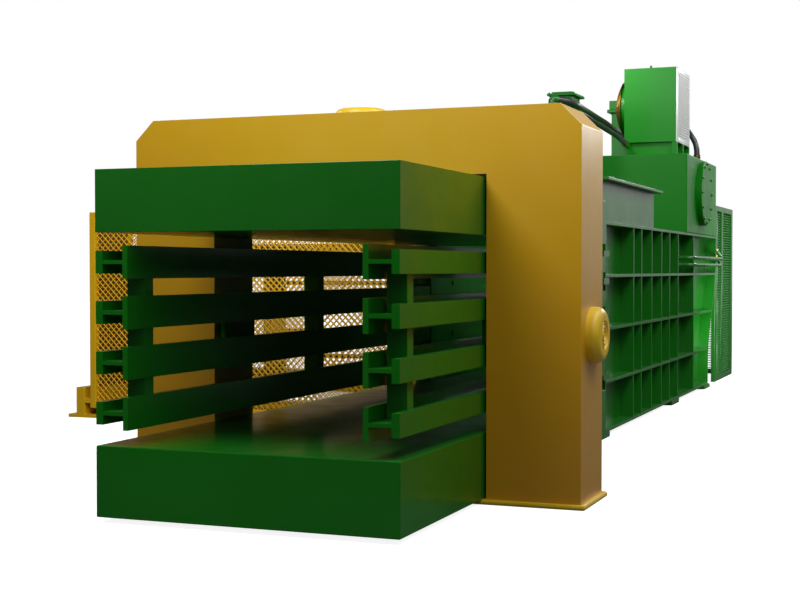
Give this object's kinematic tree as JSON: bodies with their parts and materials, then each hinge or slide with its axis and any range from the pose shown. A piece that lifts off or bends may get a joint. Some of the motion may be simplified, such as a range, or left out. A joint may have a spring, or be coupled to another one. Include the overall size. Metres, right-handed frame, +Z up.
{
  "type": "recycling baler",
  "caption": "Horizontal recycling baler with an open bale channel, a three-sided squeeze portal, a hopper, a ram box, an oil tank with cooler and a needle tying unit.",
  "frame": {"origin": "centre of the underside of the portal's base plate, on the floor", "axes": "+X to the machine's right seen from the bale outlet, +Y from the outlet to the power end, +Z up"},
  "size_m": [4.653, 9.905, 2.983],
  "materials": {
    "portal_paint": "gloss",
    "cap_paint": "gloss",
    "frame_green": "gloss",
    "channel_green": "gloss",
    "unit_green": "gloss",
    "cylinder_steel": "satin",
    "rod_chrome": "polished",
    "cylinder_green": "gloss",
    "louvre_paint": "satin",
    "core_metal": "matt",
    "guard_wire": "satin",
    "fan_plastic": "matt",
    "motor_grey": "satin",
    "blade_steel": "ground",
    "pipe_steel": "gloss",
    "hose_rubber": "satin",
    "fitting_brass": "polished",
    "mesh_green": "satin",
    "fence_yellow": "gloss",
    "fence_brown": "satin",
    "needle_steel": "ground",
    "pin_steel": "satin"
  },
  "bodies": {
    "frame": {"portal_base_plate": "portal_paint", "portal_frame": "portal_paint", "left_cylinder_cap": "cap_paint", "right_cylinder_cap": "cap_paint", "top_cylinder_cap": "cap_paint", "left_squeeze_barrel": "cylinder_steel", "right_squeeze_barrel": "cylinder_steel", "top_squeeze_barrel": "cylinder_steel", "channel_block": "channel_green", "hinge_pins": "pin_steel", "hinge_brackets": "frame_green", "left_body_wall": "frame_green", "right_body_wall": "frame_green", "body_floor": "channel_green", "body_roof": "frame_green", "shear_blade": "blade_steel", "cylinder_crosshead": "frame_green", "body_feet": "frame_green", "hopper_collar": "frame_green", "hopper_flange": "frame_green", "hopper_bolts": "frame_green", "main_cylinder_barrel": "cylinder_green", "oil_tank": "unit_green", "manhole_cover": "unit_green", "manhole_bolts": "unit_green", "cooler_stand": "frame_green", "cooler_housing": "unit_green", "cooler_louvre": "louvre_paint", "cooler_core": "core_metal", "fan_shroud": "unit_green", "fan_guard": "guard_wire", "fan_motor": "motor_grey", "cooler_lifting_eye": "unit_green", "filter_column": "unit_green", "valve_tower": "unit_green", "riser_pipe": "pipe_steel", "pressure_pipes": "pipe_steel", "upper_hose": "hose_rubber", "lower_hose": "hose_rubber", "suction_hose": "hose_rubber", "upper_line_hose": "hose_rubber", "lower_line_hose": "hose_rubber", "hose_collars": "fitting_brass", "cage_frame": "frame_green", "cage_mesh": "mesh_green", "fence_frame": "fence_yellow", "fence_mesh": "fence_yellow", "fence_side_panel": "fence_brown", "fence_foot_beam": "fence_yellow", "tie_frame": "fence_brown"},
    "right_wall": {"right_side_wall": "channel_green"},
    "left_wall": {"left_side_wall": "channel_green"},
    "top_wall": {"upper_beam": "frame_green"},
    "right_rod": {"right_squeeze_rod": "rod_chrome"},
    "left_rod": {"left_squeeze_rod": "rod_chrome"},
    "top_rod": {"top_squeeze_rod": "rod_chrome"},
    "ram": {"press_ram": "blade_steel", "ram_cylinder_rod": "rod_chrome"},
    "fan": {"cooler_fan": "fan_plastic"},
    "needles": {"needle_carriage": "needle_steel"}
  },
  "joints": [
    {"name": "right_wall_hinge", "type": "hinge", "parent": "frame", "child": "right_wall", "pos_m": [0.64, 2.425, 0.812], "axis": [0, 0, -1], "range_deg": [0, 2]},
    {"name": "left_wall_hinge", "type": "hinge", "parent": "frame", "child": "left_wall", "pos_m": [-0.64, 2.425, 0.812], "axis": [0, 0, 1], "range_deg": [0, 2]},
    {"name": "top_wall_hinge", "type": "hinge", "parent": "frame", "child": "top_wall", "pos_m": [0, 2.425, 1.41], "axis": [1, 0, 0], "range_deg": [0, 0.75]},
    {"name": "right_rod_slide", "type": "slide", "parent": "frame", "child": "right_rod", "axis": [-1, 0, 0], "range_m": [0, 0.085]},
    {"name": "left_rod_slide", "type": "slide", "parent": "frame", "child": "left_rod", "axis": [1, 0, 0], "range_m": [0, 0.085]},
    {"name": "top_rod_slide", "type": "slide", "parent": "frame", "child": "top_rod", "axis": [0, 0, -1], "range_m": [0, 0.032]},
    {"name": "ram_slide", "type": "slide", "parent": "frame", "child": "ram", "axis": [0, -1, 0], "range_m": [0, 1.74]},
    {"name": "needle_slide", "type": "slide", "parent": "frame", "child": "needles", "axis": [1, 0, 0], "range_m": [0, 1.13]},
    {"name": "fan_spin", "type": "hinge", "parent": "frame", "child": "fan", "pos_m": [0.0682, 6.334, 2.5815], "axis": [1, 0, 0], "continuous": true}
  ],
  "couplings": [
    {"joint": "right_rod_slide", "follows": "right_wall_hinge", "m_per_rad": 2.425},
    {"joint": "left_rod_slide", "follows": "left_wall_hinge", "m_per_rad": 2.425},
    {"joint": "top_rod_slide", "follows": "top_wall_hinge", "m_per_rad": 2.425}
  ]
}
